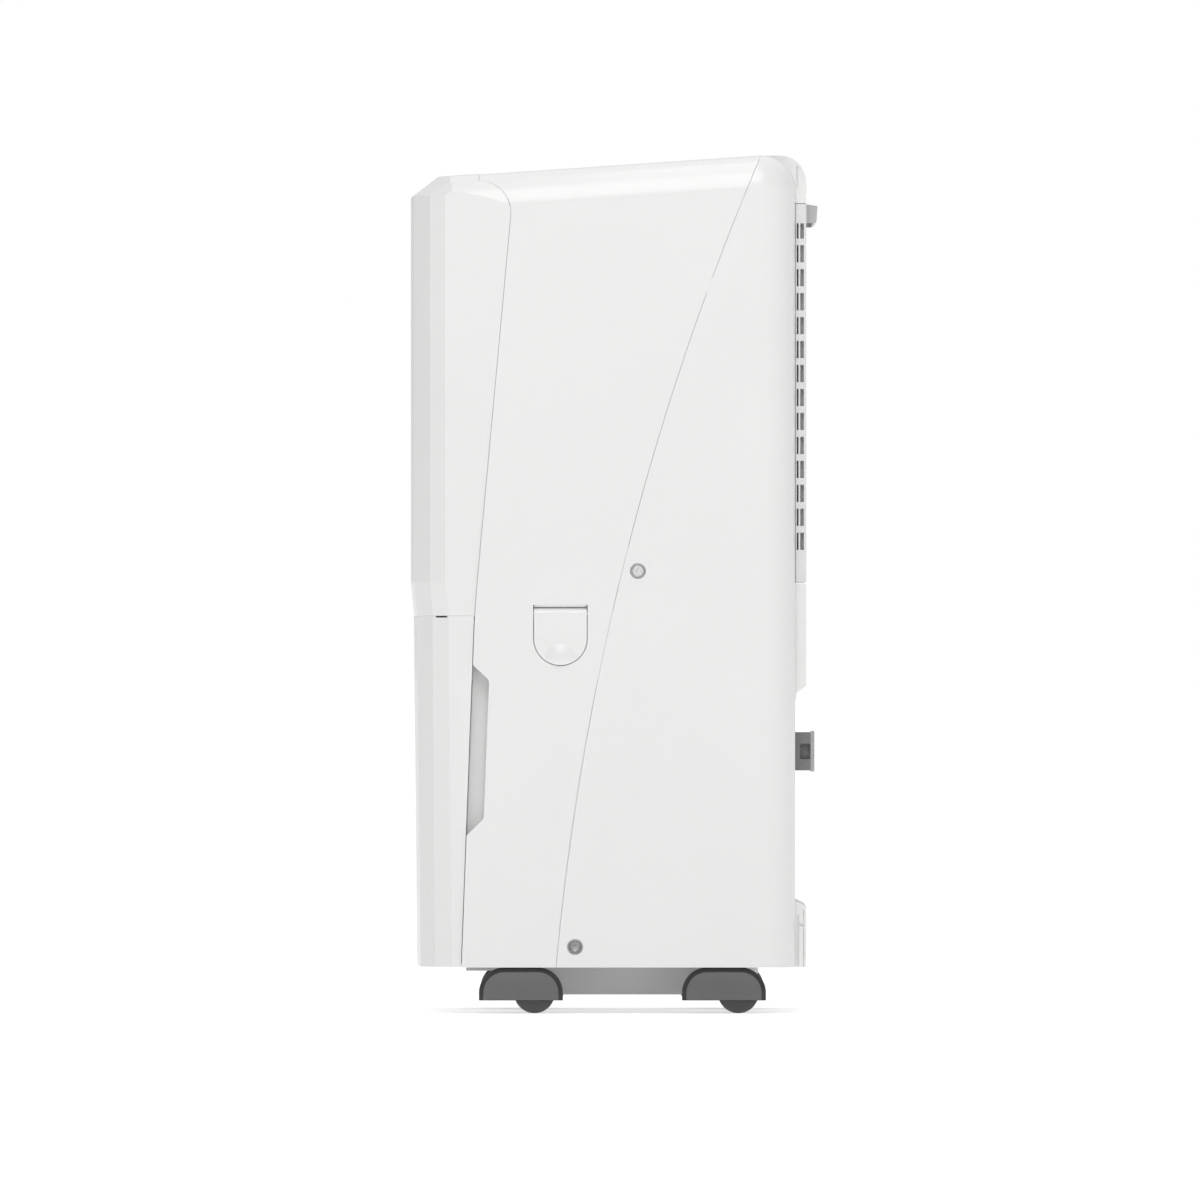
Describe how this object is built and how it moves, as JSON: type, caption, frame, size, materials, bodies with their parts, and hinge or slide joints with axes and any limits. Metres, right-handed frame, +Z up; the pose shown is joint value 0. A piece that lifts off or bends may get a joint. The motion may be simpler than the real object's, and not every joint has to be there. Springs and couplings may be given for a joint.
{
  "type": "dehumidifier",
  "caption": "Upright compressor dehumidifier with faceted front, slide-out water bucket, top controls and air outlet, rear intake grille, side drain outlet and swivel casters.",
  "frame": {"origin": "on the floor under the middle of the whole outline, caster wheels at rest", "axes": "+Z up, -Y out of the front panel and bucket, +X out of the side with the drain flap"},
  "size_m": [0.3936, 0.2934, 0.6167],
  "materials": {
    "casing_white": "satin moulded white",
    "grille_white": "satin moulded white",
    "control_grey": "satin light grey",
    "button_white": "satin white",
    "display_dark": "polished smoked window",
    "window_clear": "translucent",
    "tub_clear": "translucent white",
    "handle_white": "satin",
    "float_foam": "closed-cell foam",
    "base_grey": "fine texture",
    "caster_grey": "satin grey",
    "wheel_dark": "moulded nylon",
    "steel": "bright zinc",
    "bracket_grey": "satin grey",
    "gland_black": "matt black",
    "filter_frame_grey": "moulded",
    "filter_net": "woven nylon net",
    "coil_fin": "bare fin stock",
    "pipe_copper": "drawn copper",
    "compressor_black": "black paint",
    "mount_rubber": "moulded rubber",
    "capacitor_can": "drawn can",
    "inner_plastic": "moulded",
    "motor_steel": "zinc-plated",
    "board_green": "solder mask"
  },
  "bodies": {
    "cabinet": {"front_panel": "casing_white", "front_shell": "casing_white", "rear_shell": "casing_white", "outlet_grille": "grille_white", "control_panel": "control_grey", "display_window": "display_dark", "base_pan": "base_grey", "casing_screws": "steel", "drain_flap_pin": "steel", "cord_bracket": "bracket_grey", "cord_gland": "gland_black", "bucket_sensor": "gland_black", "evaporator": "coil_fin", "condenser": "coil_fin", "suction_pipe": "pipe_copper", "discharge_pipe": "pipe_copper", "capillary_tube": "pipe_copper", "compressor": "compressor_black", "compressor_mounts": "mount_rubber", "run_capacitor": "capacitor_can", "partition": "inner_plastic", "drain_pan": "inner_plastic", "drain_spigot": "inner_plastic", "fan_scroll": "inner_plastic", "fan_motor": "motor_steel", "control_board": "board_green"},
    "bucket": {"bucket_front": "casing_white", "bucket_tub": "tub_clear", "bucket_lid": "tub_clear", "level_window": "window_clear"},
    "bucket_bail": {"bucket_handle": "handle_white"},
    "float": {"bucket_float": "float_foam"},
    "flap": {"drain_flap": "grille_white"},
    "grille": {"intake_grille": "grille_white", "filter_frame": "filter_frame_grey", "filter_mesh": "filter_net"},
    "blower": {"blower_wheel": "inner_plastic"},
    "button_power": {"button_power": "button_white"},
    "button_mode": {"button_mode": "button_white"},
    "button_fan_speed": {"button_fan_speed": "button_white"},
    "button_timer": {"button_timer": "button_white"},
    "button_humidity_down": {"button_humidity_down": "button_white"},
    "button_humidity_up": {"button_humidity_up": "button_white"},
    "caster_front_left": {"caster_hood_front_left": "caster_grey"},
    "wheels_front_left": {"caster_wheels_front_left": "wheel_dark", "caster_axle_front_left": "steel"},
    "caster_front_right": {"caster_hood_front_right": "caster_grey"},
    "wheels_front_right": {"caster_wheels_front_right": "wheel_dark", "caster_axle_front_right": "steel"},
    "caster_rear_left": {"caster_hood_rear_left": "caster_grey"},
    "wheels_rear_left": {"caster_wheels_rear_left": "wheel_dark", "caster_axle_rear_left": "steel"},
    "caster_rear_right": {"caster_hood_rear_right": "caster_grey"},
    "wheels_rear_right": {"caster_wheels_rear_right": "wheel_dark", "caster_axle_rear_right": "steel"}
  },
  "joints": [
    {"name": "bucket_slide", "type": "slide", "parent": "cabinet", "child": "bucket", "axis": [0, -1, 0], "range_m": [0, 0.24]},
    {"name": "bucket_handle_hinge", "type": "hinge", "parent": "bucket", "child": "bucket_bail", "pos_m": [0, -0.07, 0.246], "axis": [1, 0, 0], "range_deg": [0, 90]},
    {"name": "float_hinge", "type": "hinge", "parent": "bucket", "child": "float", "pos_m": [-0.12, -0.02, 0.19], "axis": [-1, 0, 0], "range_deg": [0, 22]},
    {"name": "drain_flap_hinge", "type": "hinge", "parent": "cabinet", "child": "flap", "pos_m": [0.1909, -0.0383, 0.287], "axis": [0, -1, 0], "range_deg": [0, 80]},
    {"name": "intake_grille_hinge", "type": "hinge", "parent": "cabinet", "child": "grille", "pos_m": [0, 0.1368, 0.3111], "axis": [-1, 0, 0], "range_deg": [0, 30]},
    {"name": "blower_spin", "type": "hinge", "parent": "cabinet", "child": "blower", "pos_m": [-0.01, 0.037, 0.44], "axis": [0, 1, 0], "continuous": true},
    {"name": "power_press", "type": "slide", "parent": "cabinet", "child": "button_power", "axis": [0, 0.0676, -0.9977], "range_m": [0, 0.0012], "stiffness_N_per_m": 1200},
    {"name": "mode_press", "type": "slide", "parent": "cabinet", "child": "button_mode", "axis": [0, 0.0676, -0.9977], "range_m": [0, 0.0012], "stiffness_N_per_m": 1200},
    {"name": "fan_speed_press", "type": "slide", "parent": "cabinet", "child": "button_fan_speed", "axis": [0, 0.0676, -0.9977], "range_m": [0, 0.0012], "stiffness_N_per_m": 1200},
    {"name": "timer_press", "type": "slide", "parent": "cabinet", "child": "button_timer", "axis": [0, 0.0676, -0.9977], "range_m": [0, 0.0012], "stiffness_N_per_m": 1200},
    {"name": "humidity_down_press", "type": "slide", "parent": "cabinet", "child": "button_humidity_down", "axis": [0, 0.0676, -0.9977], "range_m": [0, 0.0012], "stiffness_N_per_m": 1200},
    {"name": "humidity_up_press", "type": "slide", "parent": "cabinet", "child": "button_humidity_up", "axis": [0, 0.0676, -0.9977], "range_m": [0, 0.0012], "stiffness_N_per_m": 1200},
    {"name": "caster_front_left_swivel", "type": "hinge", "parent": "cabinet", "child": "caster_front_left", "pos_m": [-0.15, -0.07375, 0.02], "axis": [0, 0, 1], "continuous": true},
    {"name": "wheels_front_left_spin", "type": "hinge", "parent": "caster_front_left", "child": "wheels_front_left", "pos_m": [-0.15, -0.057, 0.0148], "axis": [1, 0, 0], "continuous": true},
    {"name": "caster_front_right_swivel", "type": "hinge", "parent": "cabinet", "child": "caster_front_right", "pos_m": [0.15, -0.07375, 0.02], "axis": [0, 0, 1], "continuous": true},
    {"name": "wheels_front_right_spin", "type": "hinge", "parent": "caster_front_right", "child": "wheels_front_right", "pos_m": [0.15, -0.057, 0.0148], "axis": [1, 0, 0], "continuous": true},
    {"name": "caster_rear_left_swivel", "type": "hinge", "parent": "cabinet", "child": "caster_rear_left", "pos_m": [-0.15, 0.0723, 0.02], "axis": [0, 0, 1], "continuous": true},
    {"name": "wheels_rear_left_spin", "type": "hinge", "parent": "caster_rear_left", "child": "wheels_rear_left", "pos_m": [-0.15, 0.0896, 0.0148], "axis": [1, 0, 0], "continuous": true},
    {"name": "caster_rear_right_swivel", "type": "hinge", "parent": "cabinet", "child": "caster_rear_right", "pos_m": [0.15, 0.0723, 0.02], "axis": [0, 0, 1], "continuous": true},
    {"name": "wheels_rear_right_spin", "type": "hinge", "parent": "caster_rear_right", "child": "wheels_rear_right", "pos_m": [0.15, 0.0896, 0.0148], "axis": [1, 0, 0], "continuous": true}
  ]
}
